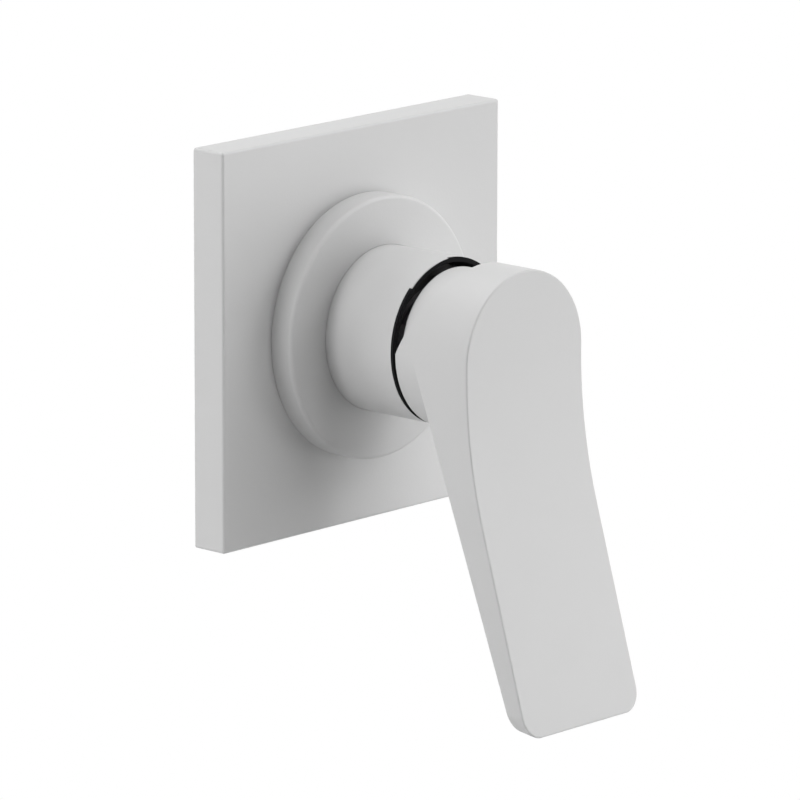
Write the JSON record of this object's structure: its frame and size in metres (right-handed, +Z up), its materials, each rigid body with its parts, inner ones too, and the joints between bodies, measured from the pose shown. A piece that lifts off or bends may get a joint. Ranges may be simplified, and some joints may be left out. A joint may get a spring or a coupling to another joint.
{
  "type": "single-lever shower mixer",
  "caption": "Concealed shower mixer in matt white: square wall plate, raised disc, round neck and a paddle lever that turns for temperature and lifts for flow.",
  "frame": {"origin": "middle of the wall plate's back face, on the finished wall", "axes": "+Y into the wall, the lever's front towards -Y, +X to the right seen from the front, +Z up"},
  "size_m": [0.11, 0.1208, 0.1534],
  "materials": {
    "white_paint": "matte",
    "black_plastic": "matte",
    "white_plastic": "matte",
    "brass": "satin",
    "steel": "satin",
    "black_metal": "matte",
    "cartridge_plastic": "matte",
    "ceramic": "satin",
    "black_rubber": "matte",
    "grey_foam": "matte"
  },
  "bodies": {
    "mixer_body": {"bracket_screws": "steel", "cartridge_base": "cartridge_plastic", "cartridge_housing": "cartridge_plastic", "cartridge_nut": "black_metal", "cover_disc": "white_paint", "disc_oring": "black_rubber", "disc_screws": "steel", "fixed_disc": "ceramic", "glide_ring": "black_plastic", "mounting_bracket": "steel", "neck_sleeve": "white_paint", "plate_gasket": "grey_foam", "port_seals": "black_rubber", "temperature_stop": "black_plastic", "valve_body": "brass", "wall_plate": "white_paint"},
    "turret_group": {"turret": "cartridge_plastic", "pivot_pin": "steel"},
    "lever": {"handle": "white_paint", "handle_screw": "steel", "handle_plug": "white_plastic", "lever_stem": "brass"},
    "disc_group": {"moving_disc": "ceramic", "disc_carrier": "cartridge_plastic"}
  },
  "joints": [
    {"name": "temperature_turn", "type": "hinge", "parent": "mixer_body", "child": "turret_group", "pos_m": [0, -0.045, 0], "axis": [0, -1, 0], "range_deg": [-50, 50]},
    {"name": "flow_lift", "type": "hinge", "parent": "turret_group", "child": "lever", "pos_m": [0, -0.045, 0], "axis": [-1, 0, 0], "range_deg": [0, 20]},
    {"name": "disc_slide", "type": "slide", "parent": "turret_group", "child": "disc_group", "axis": [0, 0, -1], "range_m": [0, 0.0048]}
  ],
  "couplings": [
    {"joint": "disc_slide", "follows": "flow_lift", "m_per_rad": 0.013717}
  ]
}
